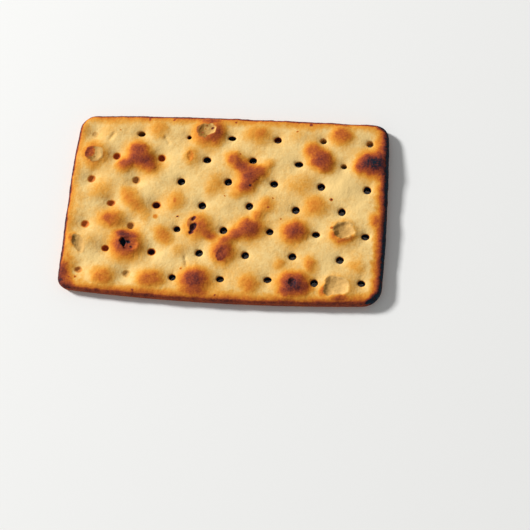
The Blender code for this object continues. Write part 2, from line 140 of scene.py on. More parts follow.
# Blisters by row, back to front: x, y, half length and half width in mm, turn in degrees, height as
# a share of BLISTER_RISE, and how far it has browned, from 0 (pale) to 1 (burnt).
BLISTERS = (
    (-34.6, 22.2, 3.4, 3.0, 0, 0.18, 0.08), (-21.4, 22.6, 3.2, 3.6, 0, 0.28, 0.26),
    (-6.9, 22.0, 4.7, 4.5, 0, 0.68, 0.50), (-4.4, 21.7, 2.9, 4.4, -10, 0.34, 0.60),
    (7.1, 22.1, 4.2, 3.2, 0, 0.24, 0.26), (8.5, 22.6, 2.0, 1.8, 0, 0.08, 0.36),
    (18.8, 21.8, 2.6, 2.6, 0, 0.14, 0.08), (31.2, 22.4, 3.4, 3.5, 0, 0.44, 0.52),
    (-6.4, 25.6, 5.2, 1.6, 0, 0.02, 0.58), (-14.5, 26.0, 6.0, 0.9, 0, 0.02, 0.52),
    (31.0, 25.8, 4.0, 1.0, 0, 0.02, 0.50),

    (-39.2, 13.9, 4.6, 4.4, 0, 0.46, 0.44), (-26.4, 15.3, 3.9, 3.4, 0, 0.66, 0.60),
    (-29.6, 11.5, 3.5, 2.5, 25, 0.46, 0.56), (-26.8, 12.7, 3.6, 2.9, 0, 0.30, 0.60),
    (-23.7, 12.2, 4.0, 3.2, -35, 0.62, 0.62), (-22.2, 10.7, 1.8, 1.5, -40, 0.20, 0.40),
    (-11.2, 14.2, 2.6, 3.2, 0, 0.26, 0.24), (1.3, 13.9, 2.9, 2.4, -45, 0.56, 0.54),
    (3.8, 12.0, 3.4, 2.6, -40, 0.50, 0.60), (6.3, 9.3, 3.8, 3.5, 0, 0.70, 0.66),
    (5.3, 6.2, 3.3, 2.8, 20, 0.50, 0.60), (9.2, 10.6, 3.0, 2.4, 45, 0.36, 0.52),
    (11.3, 12.9, 2.4, 1.8, 45, 0.28, 0.28), (3.2, 3.6, 2.4, 1.8, 0, 0.20, 0.26),
    (23.2, 17.6, 2.7, 3.0, -20, 0.44, 0.52), (26.0, 14.7, 4.3, 3.7, -40, 0.70, 0.64),
    (27.4, 12.4, 2.8, 2.0, 0, 0.30, 0.50), (39.8, 14.1, 4.9, 4.2, 0, 0.74, 0.86),
    (42.5, 14.6, 2.6, 5.8, 0, 0.30, 0.76), (37.2, 12.9, 2.6, 2.4, 0, 0.30, 0.66),

    (-36.0, 3.5, 4.4, 3.6, 20, 0.20, 0.18), (-20.2, 7.2, 3.0, 3.0, 0, 0.10, 0.0),
    (-3.7, 5.9, 3.2, 3.8, 0, 0.20, 0.21), (20.2, 7.6, 4.4, 3.8, 0, 0.20, 0.18),
    (32.8, 7.0, 3.4, 3.4, 0, 0.12, 0.0), (42.6, 7.4, 2.2, 3.2, 0, 0.14, 0.28),

    (-42.2, 1.0, 2.2, 2.6, 0, 0.16, 0.12), (-27.8, 1.5, 4.0, 2.7, -58, 0.30, 0.31),
    (-25.1, -1.1, 3.6, 2.6, -38, 0.27, 0.31), (-22.4, -4.0, 1.9, 2.6, 0, 0.14, 0.17),
    (-14.1, 0.9, 3.3, 3.5, 0, 0.26, 0.24), (-14.6, 0.8, 0.8, 1.1, 0, 0.02, 0.40),
    (-0.3, 1.0, 3.0, 3.0, 0, 0.10, 0.0), (11.1, 0.5, 2.5, 2.9, -20, 0.30, 0.29),
    (9.4, -2.2, 2.4, 2.0, 50, 0.32, 0.38), (25.3, 1.2, 3.6, 3.4, 0, 0.34, 0.33),
    (42.3, -2.4, 2.8, 2.9, 0, 0.36, 0.50),

    (-32.0, -5.0, 4.2, 3.5, 0, 0.38, 0.40), (-32.8, -5.2, 2.2, 2.2, 0, 0.02, 0.48),
    (-16.7, -9.3, 3.8, 2.7, -35, 0.28, 0.38), (-7.0, -6.2, 4.6, 4.3, 0, 0.64, 0.46),
    (-5.2, -7.8, 2.8, 2.4, -40, 0.10, 0.45), (-3.4, -8.9, 2.8, 1.9, -30, 0.24, 0.52),
    (7.4, -6.1, 4.4, 3.4, 20, 0.64, 0.62), (4.0, -7.9, 3.7, 2.5, 25, 0.46, 0.54),
    (1.2, -9.8, 2.8, 1.9, 20, 0.40, 0.52), (19.8, -6.4, 3.9, 3.5, 0, 0.66, 0.62),
    (33.4, -5.9, 4.7, 4.3, 0, 0.56, 0.26), (34.0, -8.0, 3.4, 1.4, 15, 0.12, 0.50),
    (31.0, -6.9, 1.8, 1.9, 30, 0.06, 0.42),

    (-42.3, -11.7, 2.4, 1.8, -62, 0.36, 0.38), (-38.6, -11.6, 3.2, 2.8, 0, 0.18, 0.08),
    (-26.6, -12.5, 5.3, 4.9, 0, 0.70, 0.65), (-26.8, -9.8, 4.4, 1.8, -4, 0.08, 0.68),
    (-12.2, -13.4, 2.6, 2.4, 0, 0.20, 0.14), (0.4, -12.9, 3.8, 4.0, 0, 0.64, 0.58),
    (16.2, -15.9, 1.8, 2.0, 0, 0.20, 0.24), (24.6, -15.7, 2.2, 2.7, 0, 0.28, 0.40),
    (37.3, -15.4, 2.8, 2.4, 0, 0.18, 0.19),

    (-32.4, -22.1, 3.8, 3.3, 0, 0.46, 0.43), (-19.2, -22.1, 4.5, 3.3, 0, 0.46, 0.45),
    (-6.8, -21.6, 4.9, 4.0, 0, 0.72, 0.74), (-6.8, -24.7, 5.2, 2.6, 0, 0.16, 0.56),
    (8.6, -22.1, 3.2, 3.2, 0, 0.34, 0.37), (20.5, -21.5, 5.0, 4.2, 0, 0.76, 0.74),
    (23.0, -22.0, 2.9, 2.9, 0, 0.20, 0.60), (18.2, -23.2, 2.8, 2.4, 0, 0.16, 0.58),
    (32.4, -22.0, 4.9, 4.0, 0, 0.52, 0.27), (33.2, -24.8, 3.6, 1.5, 0, 0.08, 0.54),
    (28.6, -22.8, 1.4, 2.2, 0, 0.04, 0.50),
)

# Broken blisters: x, y, half length and half width in mm, turn in degrees, heights in mm of the
# hollow's floor and of its broken rim, and how dark it is inside at its left and at its right: its
# browning, with painted shade added where the hollow's left side lies in shade. One that stayed pale
# at its right shows open crumb. The second is no hollow of its own, only the red-brown patch inside the
# first.
BURSTS = (
    (-39.1, 13.9, 2.5, 2.4, 0, 4.0, 4.35, 0.74, 0.04), (-40.2, 14.6, 1.2, 1.5, 0, 4.0, 4.35, 0.68, 0.50),
    (-8.1, 22.2, 1.9, 2.1, 0, 4.0, 4.7, 0.60, 0.32),
    (-6.3, 22.5, 1.7, 1.8, 0, 4.1, 4.7, 0.32, 0.08), (-11.3, 14.5, 1.5, 0.9, 100, 3.75, 4.0, 0.24, 0.42),
    (-9.3, -5.6, 1.7, 1.0, 95, 4.2, 4.6, 0.56, 0.38), (-25.9, -12.4, 2.6, 1.9, -10, 3.9, 4.5, 0.76, 0.46),
    (33.3, -5.4, 2.8, 2.5, 0, 3.4, 4.4, 0.42, 0.10), (32.4, -21.2, 3.2, 2.5, 0, 3.4, 4.3, 0.20, 0.02),
    (30.8, -20.2, 1.6, 1.9, 0, 3.4, 4.3, 0.46, 0.10), (30.4, -21.6, 1.6, 1.5, 0, 3.4, 4.3, 0.46, 0.10),
    (30.3, -22.7, 1.5, 1.4, 0, 3.4, 4.3, 0.46, 0.10), (-40.4, -12.9, 2.9, 1.5, -62, 3.4, 4.0, 0.50, 0.0),
    (20.3, -20.9, 1.1, 1.1, 0, 4.35, 4.9, 0.86, 0.80), (0.2, -14.1, 1.9, 1.3, 75, 4.5, 4.8, 0.74, 0.60),
)
# Dark pits where a blister burnt through, in the same terms: burnt, and darker still with painted deep
# shade
PITS = (
    (-8.5, -4.2, 0.80, 0.52, 50, 3.6, 4.5, 0.84, 0.80), (-8.3, -6.6, 1.15, 0.95, 60, 3.4, 4.5, 0.86, 0.80),
    (-8.9, -8.2, 0.75, 0.50, 20, 3.6, 4.4, 0.84, 0.78),
    (-27.7, -12.0, 1.30, 0.72, -72, 2.4, 4.2, 1.0, 1.0),
    (-26.3, -11.8, 0.65, 0.40, -15, 3.2, 4.2, 0.94, 0.86),
    (-25.3, -13.2, 0.50, 0.35, -30, 3.4, 4.2, 0.84, 0.76),
    (-5.7, 23.0, 0.45, 0.28, 15, 3.6, 4.4, 0.80, 0.72),
    (-7.2, 23.6, 0.24, 0.22, 0, 3.8, 4.5, 0.66, 0.56), (-7.7, 22.7, 0.22, 0.20, 0, 3.8, 4.4, 0.60, 0.56),
    (-8.5, 21.6, 0.30, 0.24, 0, 3.7, 4.4, 0.70, 0.64),
)
# How ragged the rims are, as shares of the radius, and the waves that make them so: how closely they
# follow each other, how strong they are, and how far along the noise they start
BURST_RAGGED, PIT_RAGGED = 0.28, 0.30
RAGGED_WAVES = ((1.3, 1.0, 1), (3.6, 0.8, -1), (8.0, 0.5, 2))
BURST_SEGMENTS, BURST_RINGS = 36, 20
# Above its waist, a plug runs up to this height, well over the blisters
WAIST = 0.01
OVER_TOP = 8.0 * MM

# Creases in the skin: from x, y to x, y in mm
CREASES = ((-34.0, 20.5, -35.2, 18.8), (-19.0, 19.8, -17.8, 18.2), (-10.0, -15.2, -9.3, -17.6))
CREASE_DEPTH, CREASE_SPREAD = 0.35 * MM, 0.45 * MM

# Scorched specks: x, y and radius in mm, and how brown
SPECKS = (
    (29.3, 3.3, 0.35, 0.97), (13.1, 3.0, 0.22, 0.85), (12.0, 0.1, 0.3, 0.55), (15.8, -3.0, 0.2, 0.85),
    (-13.2, -3.6, 0.25, 0.90), (-10.8, -18.6, 0.3, 0.62), (-0.7, -25.6, 0.3, 0.75), (-0.4, 3.0, 0.2, 0.80),
    (-19.5, -3.9, 0.65, 0.38), (-24.0, 25.2, 0.4, 0.6), (-17.0, 25.3, 0.3, 0.7), (1.0, 25.2, 0.3, 0.75),
    (18.6, 23.0, 0.2, 0.75), (22.3, 25.4, 0.5, 0.75), (3.0, 15.6, 0.2, 0.6), (6.5, 6.1, 0.42, 0.88),
    (8.2, 8.0, 0.22, 0.85), (29.9, -4.9, 0.4, 0.55), (-23.6, -25.3, 0.35, 0.7), (-42.8, -21.2, 0.40, 0.58),
    (-40.3, -22.4, 0.32, 0.62), (-42.0, -22.6, 0.30, 0.60), (-40.3, 20.2, 0.28, 0.75),
    (-38.9, 12.9, 0.3, 0.7), (-44.0, -23.6, 0.6, 0.85), (-32.3, 21.6, 0.2, 0.55),
)

# Seeds of what is left to chance, and how far apart two seeds lie in the noise, along each axis for
# patches and along x for ragged plugs
WANDER_SEED, FIRST_PIN_SEED = 7, 40
SEED_STEPS = (3.7, 1.9, 5.3)
RAGGED_SEED_STEP = 2.1


# ---------------------------------------------------------------- modelling
def deselect():
    if bpy.context.object and bpy.context.object.mode != "OBJECT":
        bpy.ops.object.mode_set(mode="OBJECT")
    bpy.ops.object.select_all(action="DESELECT")


def pick(obj):
    deselect()
    obj.select_set(True)
    bpy.context.view_layer.objects.active = obj


def apply_modifier(obj, kind, **settings):
    pick(obj)
    modifier = obj.modifiers.new(kind.title(), kind)
    for name, value in settings.items():
        setattr(modifier, name, value)
    bpy.ops.object.modifier_apply(modifier=modifier.name)


def select_where(obj, kind, test):
    """Opens the object in edit mode with just the edges or faces that pass the test selected."""
    pick(obj)
    bpy.ops.object.mode_set(mode="EDIT")
    bpy.ops.mesh.select_mode(type=kind)
    bpy.ops.mesh.select_all(action="DESELECT")
    mesh = bmesh.from_edit_mesh(obj.data)
    for part in mesh.edges if kind == "EDGE" else mesh.faces:
        part.select = test(part)
    mesh.select_flush_mode()
    bmesh.update_edit_mesh(obj.data)


def round_edges(obj, radius, segments, test):
    select_where(obj, "EDGE", lambda edge: test(*(v.co for v in edge.verts)))
    bpy.ops.mesh.bevel(offset=radius, segments=segments, affect="EDGES", clamp_overlap=True)
    bpy.ops.object.mode_set(mode="OBJECT")


def vertex_places(obj):
    places = np.empty(len(obj.data.vertices) * 3)
    obj.data.vertices.foreach_get("co", places)
    return places.reshape(-1, 3)


def set_vertex_places(obj, places):
    obj.data.vertices.foreach_set("co", places.ravel())
    obj.data.update()


def weighted(obj, name, weights):
    """A vertex group with those weights, in steps of a tenth."""
    group = obj.vertex_groups.new(name=name)
    tenths = np.round(np.clip(weights, 0, 1) * 10).astype(int)
    for tenth in range(1, 11):
        group.add([int(n) for n in np.nonzero(tenths == tenth)[0]], tenth / 10, "REPLACE")
    return group.name


def step_between(value, low, high):
    """0 at low and beyond, 1 at high and beyond, smooth between; low may be the larger one."""
    t = np.clip((value - low) / (high - low), 0, 1)
    return t * t * (3 - 2 * t)


def on_pattern(places):
    """x and y from the middle of the docker's pattern."""
    return places[:, 0] - PATTERN_CENTRE[0], places[:, 1] - PATTERN_CENTRE[1]


def oval_distance(x, y, oval):
    """0 in the middle of an oval and 1 on its edge."""
    middle_x, middle_y, half_long, half_wide, turn = oval
    angle = math.radians(turn)
    dx, dy = x / MM - middle_x, y / MM - middle_y
    along = (dx * math.cos(angle) + dy * math.sin(angle)) / half_long
    aside = (dy * math.cos(angle) - dx * math.sin(angle)) / half_wide
    return np.hypot(along, aside)


def patchy(places, size, seed):
    """Smooth noise from about -1 to 1 whose lumps are about that size."""
    shift = Vector([seed * step for step in SEED_STEPS])
    return np.array([noise.noise(Vector(place) / size + shift) for place in places])


def with_waves(base, places, waves):
    """The base with patchy waves added, each of them a strength, a size and a seed."""
    for strength, size, seed in waves:
        base = base + strength * patchy(places, size, seed)
    return base


def cut_blank():
    """The cut sheet: a slab with four rounded corners, a soft upper edge and a small lower one."""
    bpy.ops.mesh.primitive_cube_add(size=1, location=(0, 0, SHEET / 2))
    blank = bpy.context.object
    blank.name = "cracker_crust"
    blank.scale = (2 * HALF_LENGTH, 2 * HALF_WIDTH, SHEET)
    bpy.ops.object.transform_apply(location=True, rotation=True, scale=True)
    for (side, end), radius in CORNERS.items():
        round_edges(blank, radius, CORNER_STEPS, lambda a, b, side=side, end=end: (
            abs(a.z - b.z) > SHEET / 2 and abs(a.x - side * HALF_LENGTH) < CLOSE
            and abs(a.y - end * HALF_WIDTH) < CLOSE))
    round_edges(blank, SHOULDER, SHOULDER_STEPS, lambda a, b: min(a.z, b.z) > SHEET - CLOSE)
    round_edges(blank, FOOT, FOOT_STEPS, lambda a, b: max(a.z, b.z) < CLOSE)
    return blank


def drawn_in(across, along):
    """How far in the left and the back side lie beside the corner that drew in."""
    leftness, backness = np.clip(-across, 0, 1), np.clip(along, 0, 1)
    left_in = DRAWN_LEFT * leftness * backness**DRAWN_LEFT_FADE
    back_in = DRAWN_BACK * leftness**DRAWN_BACK_FADE * backness
    return left_in, back_in


def bow_sides(obj):
    """Bows the four sides out, draws the one corner in and moves the sheet to its place."""
    places = vertex_places(obj)
    across, along = places[:, 0] / HALF_LENGTH, places[:, 1] / HALF_WIDTH
    bow_x = np.where(across > 0, BOW_RIGHT, BOW_LEFT)
    bow_y = np.where(along > 0, BOW_BACK, BOW_FRONT)
    left_in, back_in = drawn_in(across, along)
    places[:, 0] += bow_x * (1 - along**2) * across * np.abs(across) ** (BOW_REACH - 1) + left_in
    places[:, 1] += bow_y * (1 - across**2) * along * np.abs(along) ** (BOW_REACH - 1) - back_in
    places[:, 0] += OUTLINE_CENTRE[0] + PATTERN_CENTRE[0]
    places[:, 1] += OUTLINE_CENTRE[1] + PATTERN_CENTRE[1]
    set_vertex_places(obj, places)


def docker_pins():
    """Each pin's x and y, how long and wide its hole is, as shares of the radius, the height of the
    hole's floor, below the underside for one right through, how far it has browned, painted shade
    included, and how much painted glow of light through thin dough it has."""
    wander = random.Random(WANDER_SEED)
    pins = []
    for row in range(-OUTER_ROW, OUTER_ROW + 1):
        for column in range(-OUTER_COLUMN, OUTER_COLUMN + 1):
            if (row + column) % 2:
                loose = wander.uniform(-PIN_WANDER, PIN_WANDER), wander.uniform(-PIN_WANDER, PIN_WANDER)
                off_x, off_y, long, wide = STRAYED_PINS.get(
                    (column, row), (loose[0] / MM, loose[1] / MM, *ORDINARY_HOLE))
                floor, level, painted_glow = OTHER_PINS.get((column, row), THROUGH_PIN)
                pins.append((column * HALF_PITCH + off_x * MM, row * ROW_PITCH + off_y * MM, long, wide,
                             floor * MM, level, painted_glow))
    return pins


def strayed(places):
    """How far the blisters' true outlines stray from plain ovals, along x and along y."""
    flat = places * (1, 1, 0)
    return with_waves(0, flat, OUTLINE_WAVES_X), with_waves(0, flat, OUTLINE_WAVES_Y)


def raise_dough(obj, pins):
    """Lifts the upper face between the pins and into blisters, and leaves the foot of the walls alone."""
    places = vertex_places(obj)
    x, y = on_pattern(places)
    wander_x, wander_y = strayed(places)
    quilt = np.cos(math.pi * x / HALF_PITCH) * np.cos(math.pi * y / ROW_PITCH)
    unraised = np.ones(len(x))
    for *oval, share, _ in BLISTERS:
        away = oval_distance(x + wander_x, y + wander_y, oval)
        unraised *= 1 - share * np.exp(-BLISTER_STEEPNESS * away**BLISTER_FLATNESS)
    dimple = np.zeros(len(x))
    for pin_x, pin_y, _, _, floor, *_ in pins:
        wider = SHALLOW_DIMPLE if floor > 0 else 1
        away = np.hypot(x - pin_x, y - pin_y) / (DIMPLE_SPREAD * wider)
        dimple = np.maximum(dimple, wider * np.exp(-away * away))
    lift = QUILT * quilt + BLISTER_RISE * (1 - unraised) - DIMPLE_DEPTH * dimple
    for start_x, start_y, end_x, end_y in CREASES:
        run_x, run_y = (end_x - start_x) * MM, (end_y - start_y) * MM
        from_x, from_y = x - start_x * MM, y - start_y * MM
        share = np.clip((from_x * run_x + from_y * run_y) / (run_x**2 + run_y**2), 0, 1)
        away = np.hypot(from_x - share * run_x, from_y - share * run_y) / CREASE_SPREAD
        lift -= CREASE_DEPTH * np.exp(-away * away)
    places[:, 2] += lift * step_between(places[:, 2], RAISED_FROM, SHEET)
    set_vertex_places(obj, places)


def make_ragged(plug, ragged_by, seed):
    """Pushes the sides of an upright plug in and out, by that share of its radius."""
    shift = Vector((seed * RAGGED_SEED_STEP, 0, 0))
    for v in plug.data.vertices:
        bearing = math.atan2(v.co.y, v.co.x)
        around = Vector((math.cos(bearing), math.sin(bearing), 0))
        ragged = 0
        for closeness, strength, start in RAGGED_WAVES:
            ragged += strength * noise.noise(around * closeness + shift * start)
        v.co.x *= 1 + ragged_by * ragged
        v.co.y *= 1 + ragged_by * ragged


def pin_plugs(pins):
    """Tapering, slightly ragged plugs, from the floor of each hole to well over the sheet."""
    plugs = []
    taper = (MOUTH_RADIUS - FOOT_RADIUS) / SHEET
    for seed, (x, y, long, wide, floor, *_) in enumerate(pins):
        bpy.ops.mesh.primitive_cone_add(
            vertices=PIN_SIDES, depth=OVER_TOP - floor,
            radius1=FOOT_RADIUS + taper * max(floor, 0), radius2=FOOT_RADIUS + taper * OVER_TOP,
            location=(x + PATTERN_CENTRE[0], y + PATTERN_CENTRE[1], (OVER_TOP + floor) / 2))
        plug = bpy.context.object
        plug.scale = (long, wide, 1)
        make_ragged(plug, PIN_RAGGED, FIRST_PIN_SEED + seed)
        plugs.append(plug)
    return plugs


def burst_plugs(hollows, ragged_by):
    """Egg-shaped plugs with a ragged waist: their lower halves leave the bowls of broken blisters."""
    plugs = []
    for seed, (x, y, half_long, half_wide, turn, floor, rim, *_) in enumerate(hollows):
        bpy.ops.mesh.primitive_uv_sphere_add(
            segments=BURST_SEGMENTS, ring_count=BURST_RINGS, radius=1, rotation=(0, 0, math.radians(turn)),
            location=(x * MM + PATTERN_CENTRE[0], y * MM + PATTERN_CENTRE[1], rim * MM))
        plug = bpy.context.object
        plug.scale = (half_long * MM, half_wide * MM, (rim - floor) * MM)
        make_ragged(plug, ragged_by, seed)
        for v in plug.data.vertices:
            if v.co.z > WAIST:
                v.co.z *= (OVER_TOP - rim * MM) / ((rim - floor) * MM)
        plugs.append(plug)
    return plugs


def joined(objects):
    deselect()
    for each in objects:
        each.select_set(True)
    bpy.context.view_layer.objects.active = objects[0]
    bpy.ops.object.join()
    whole = bpy.context.object
    pick(whole)
    bpy.ops.object.transform_apply(location=True, rotation=True, scale=True)
    return whole


def cut_out(obj, plugs, merge_to=None):
    """Cuts the plugs away. Where they overlap, they are first melted into one, in steps that small."""
    cutter = joined(plugs)
    if merge_to:
        apply_modifier(cutter, "REMESH", mode="VOXEL", voxel_size=merge_to)
    apply_modifier(obj, "BOOLEAN", operation="DIFFERENCE", solver="MANIFOLD", object=cutter)
    bpy.data.objects.remove(cutter)


def remesh(obj):
    apply_modifier(obj, "REMESH", mode="VOXEL", voxel_size=FINEST, use_smooth_shade=True)


def roughen(obj, name, size, height, weights):
    """Pushes the surface in and out by cloudy lumps of that size."""
    lumps = bpy.data.textures.new(name, "CLOUDS")
    lumps.noise_scale = size
    apply_modifier(obj, "DISPLACE", texture=lumps, texture_coords="LOCAL", strength=height, mid_level=0.5,
                   vertex_group=weighted(obj, name, weights))


# ---------------------------------------------------------------- baking
# A pair that says where something shows gives the place where it begins and the one where it is full.

# Browning along each edge: how far at the rim, and over how many mm it fades inwards at the front or
# left end of that edge and at the other end
# The right rim goes near-black: burnt, and painted shade where it faces away from the light.
RIM_BROWNING = {
    "left": (0.42, 4.4, 4.4), "right": (1.08, 4.3, 5.0),
    "front": (0.62, 4.0, 4.0), "back": (0.52, 3.6, 3.8),
}
# How steeply it fades, and where the other end lies, from -1 at the front or left end to 1
RIM_FADE = 1.3
OTHER_END = (-0.4, 0.2)
# At each corner: how far at the rim, over how many mm it fades inwards, and how far round it spreads.
# It is full over the first FULL_CORNER of that.
# The right corners go near-black too: burnt and painted shade.
CORNER_BROWNING = {
    (-1, 1): (0.48, 3.0, 9), (1, 1): (1.3, 4.0, 5.8),
    (-1, -1): (0.86, 6.2, 11), (1, -1): (1.3, 2.9, 5.8),
}
FULL_CORNER = 0.35
# Edges brown in wide and in narrow streaks: strength, size and seed
STREAKS = ((0.35, 4.5 * MM, 5), (0.2, 1.2 * MM, 6))
# How far the thin line at the very rim has browned, and the wall under it, and the most of both. On the
# right, which faces away from the light, both go near-black: burnt and painted shade.
WALL_BROWNING = {"left": (0.84, 0.50), "right": (1.0, 0.80), "front": (0.68, 0.64), "back": (0.78, 0.50)}
BURNT_AND_SHADED_RIM = 0.94
# Where these lie: the wall by its height and by the distance in from the outline, the thin line by
# that distance, and what belongs to one side by the distance in from that side
WALL_HEIGHT, WALL_INSET = (SHEET - 0.3 * MM, SHEET - 0.8 * MM), (1.6 * MM, 0.4 * MM)
RIM_LINE_INSET = (1.4 * MM, 0.55 * MM)
SIDE_INSET = (6 * MM, 0)
# The lower part of the wall, and how much less of the edge's own browning reaches it
LOW_WALL_HEIGHT = (SHEET - 0.7 * MM, SHEET - 1.5 * MM)
LOW_WALL_LOSS = 0.25
# The left and the back wall stayed paler: how much of the cut dough's own colour shows there, where
# they have browned no further than that
CUT_DOUGH = 0.55
STILL_PALE = (0.75, 0.60)
UNDERSIDE_BROWNING = 0.18
UNDERSIDE_HEIGHT = (0.5 * MM, 0.1 * MM)

# A blister browns at its top and has a faint halo, both measured in its own oval. Where brownings
# meet, they add up by this power, so that the stronger one tells.
BROWN_TOP, HALO, HALO_SHARE = (1.45, 0.15), (1.9, 0.9), 0.15
MEETING_POWER = 5

# A hollow's edge, measured in its oval, the noise that tears it, and how far over its rim and under
# its floor its colour goes, in mm
HOLLOW_EDGE = (1.1, 0.95)
TORN_EDGE = ((0.22, 1.0 * MM, 9),)
OVER_RIM, UNDER_FLOOR = 0.25, 0.5
# How pale a hollow must be at its right, and at the place itself, to show crumb
PALE_RIGHT, PALE_PLACE = (0.42, 0.32), (0.75, 0.45)
# A speck's edge, measured in its radius
SPECK_EDGE = (1.5, 0.6)
# The wall of a docker hole, by the distance from its middle and by height. One that has browned less
# than that shows crumb, olive where its shade is painted.
HOLE_WALL = (MOUTH_RADIUS + 0.35 * MM, MOUTH_RADIUS + 0.05 * MM)
HOLE_HEIGHT = (SHEET - 0.5 * MM, SHEET - 1.0 * MM)
PALE_HOLE = 0.5


def side_distances(x, y):
    """How far in from each side of the outline a point lies, and from the outline all round."""
    across = (x - OUTLINE_CENTRE[0]) / HALF_LENGTH
    along = (y - OUTLINE_CENTRE[1]) / HALF_WIDTH
    bow_x, bow_y = 1 - np.clip(along, -1, 1) ** 2, 1 - np.clip(across, -1, 1) ** 2
    left_in, back_in = drawn_in(across, along)
    sides = {
        "left": (1 + across) * HALF_LENGTH + BOW_LEFT * bow_x - left_in,
        "right": (1 - across) * HALF_LENGTH + BOW_RIGHT * bow_x,
        "front": (1 + along) * HALF_WIDTH + BOW_FRONT * bow_y,
        "back": (1 - along) * HALF_WIDTH + BOW_BACK * bow_y - back_in,
    }
    nearest = np.minimum.reduce(list(sides.values()))
    for (side, end), radius in CORNERS.items():
        near_x = sides["right" if side > 0 else "left"]
        near_y = sides["back" if end > 0 else "front"]
        in_corner = (near_x < radius) & (near_y < radius)
        rounded = radius - np.hypot(radius - near_x, radius - near_y)
        nearest = np.where(in_corner, rounded, nearest)
    return sides, nearest


def browned_blisters(x, y, places):
    """The tops brown most, with a faint golden halo. Where blisters run together, so does their colour."""
    wander_x, wander_y = strayed(places)
    browned = np.zeros(len(x))
    for *oval, _, level in BLISTERS:
        away = oval_distance(x + wander_x, y + wander_y, oval)
        browned += (level * step_between(away, *BROWN_TOP)) ** MEETING_POWER
        browned += (HALO_SHARE * level * step_between(away, *HALO)) ** MEETING_POWER
    return browned ** (1 / MEETING_POWER)


def browned_edges(x, y, places):
    """How far the edges and walls have browned, and where a wall stayed paler."""
    sides, inset = side_distances(x, y)
    streaky = with_waves(1, places, STREAKS)
    browned = np.zeros(len(x))
    for side, (level, reach, far_reach) in RIM_BROWNING.items():
        run = y / HALF_WIDTH if side in ("left", "right") else x / HALF_LENGTH
        reach = (reach + (far_reach - reach) * step_between(run, *OTHER_END)) * MM * streaky
        rim = level * np.clip(1 - sides[side] / reach, 0, 1) ** RIM_FADE
        browned = np.maximum(browned, rim)
    for (side, end), (level, reach, spread) in CORNER_BROWNING.items():
        tip_x = OUTLINE_CENTRE[0] + side * HALF_LENGTH
        tip_y = OUTLINE_CENTRE[1] + end * HALF_WIDTH
        from_tip = np.hypot(x - tip_x, y - tip_y) / streaky
        near = step_between(from_tip, spread * MM, FULL_CORNER * spread * MM)
        browned = np.maximum(browned, level * near * np.clip(1 - inset / (reach * MM * streaky), 0, 1))

    wall = step_between(places[:, 2], *WALL_HEIGHT) * step_between(inset, *WALL_INSET)
    wall = np.maximum(wall, step_between(inset / streaky, *RIM_LINE_INSET))
    shares = {side: step_between(sides[side], *SIDE_INSET) for side in WALL_BROWNING}
    at_rim, below_rim = (
        np.maximum.reduce([levels[n] * shares[side] for side, levels in WALL_BROWNING.items()])
        for n in (0, 1))
    low = step_between(places[:, 2], *LOW_WALL_HEIGHT)
    wall = wall * (at_rim + (below_rim - at_rim) * low)
    browned = np.minimum(np.maximum(browned * (1 - LOW_WALL_LOSS * low), wall), BURNT_AND_SHADED_RIM)
    pale_wall = np.maximum(*(step_between(sides[side], *WALL_INSET) for side in ("left", "back")))
    return browned, pale_wall * low * step_between(browned, *STILL_PALE)


def bake(obj, pins):
    """Keeps on the mesh how far each place has browned, with painted deep shade in the holes, the hollows
    and the right rim, where open crumb shows and where a glow of light through thin dough is painted.
    Gives back where blisters broke."""
    places = vertex_places(obj)
    x, y = on_pattern(places)
    height = places[:, 2]
    browned, pale_wall = browned_edges(x, y, places)
    browned = np.maximum(browned, browned_blisters(x, y, places))

    crumb, broken = CUT_DOUGH * pale_wall, np.zeros(len(x))
    torn = with_waves(0, places, TORN_EDGE)
    for *oval, floor, rim, left_brown_and_shade, at_right in BURSTS + PITS:
        middle_x, _, half_long, _, _ = oval
        hollow = step_between(oval_distance(x, y, oval) + torn, *HOLLOW_EDGE)
        hollow *= step_between(height, (rim + OVER_RIM) * MM, rim * MM)
        hollow *= height > (floor - UNDER_FLOOR) * MM
        # Inside a hollow the colour runs from left to right: browning, with painted shade on the shaded
        # left
        across = np.clip((x / MM - middle_x) / (2 * half_long) + 0.5, 0, 1)
        inside_brown_and_shade = left_brown_and_shade + (at_right - left_brown_and_shade) * across
        browned = browned * (1 - hollow) + inside_brown_and_shade * hollow
        opened = step_between(at_right, *PALE_RIGHT) * step_between(inside_brown_and_shade, *PALE_PLACE)
        crumb = crumb * (1 - hollow) + hollow * opened
        broken = np.maximum(broken, hollow)

    for speck_x, speck_y, radius, level in SPECKS:
        away = np.hypot(x / MM - speck_x, y / MM - speck_y)
        speck = step_between(away, *(share * radius for share in SPECK_EDGE))
        browned = np.maximum(browned, level * speck)

    painted_glow = np.zeros(len(x))
    # Each hole's wall takes its pin's level: browning, near-black painted deep shade in the through holes,
    # and its painted glow
    for pin_x, pin_y, long, wide, _, pin_level, pin_painted_glow in pins:
        away = np.hypot((x - pin_x) / long, (y - pin_y) / wide)
        wall = step_between(away, *HOLE_WALL) * step_between(height, *HOLE_HEIGHT)
        browned = browned * (1 - wall) + pin_level * wall
        crumb = np.maximum(crumb, wall * (pin_level < PALE_HOLE) * (1 - pin_painted_glow))
        painted_glow = np.maximum(painted_glow, pin_painted_glow * wall)

    under = step_between(height, *UNDERSIDE_HEIGHT)
    browned = browned * (1 - under) + UNDERSIDE_BROWNING * under
    baked = {"browned": browned, "crumb": crumb * (1 - under), "painted_glow": painted_glow * (1 - under)}
    for name, values in baked.items():
        attribute = obj.data.attributes.new(name, "FLOAT", "POINT")
        attribute.data.foreach_set("value", values.astype(np.float32))
    return broken


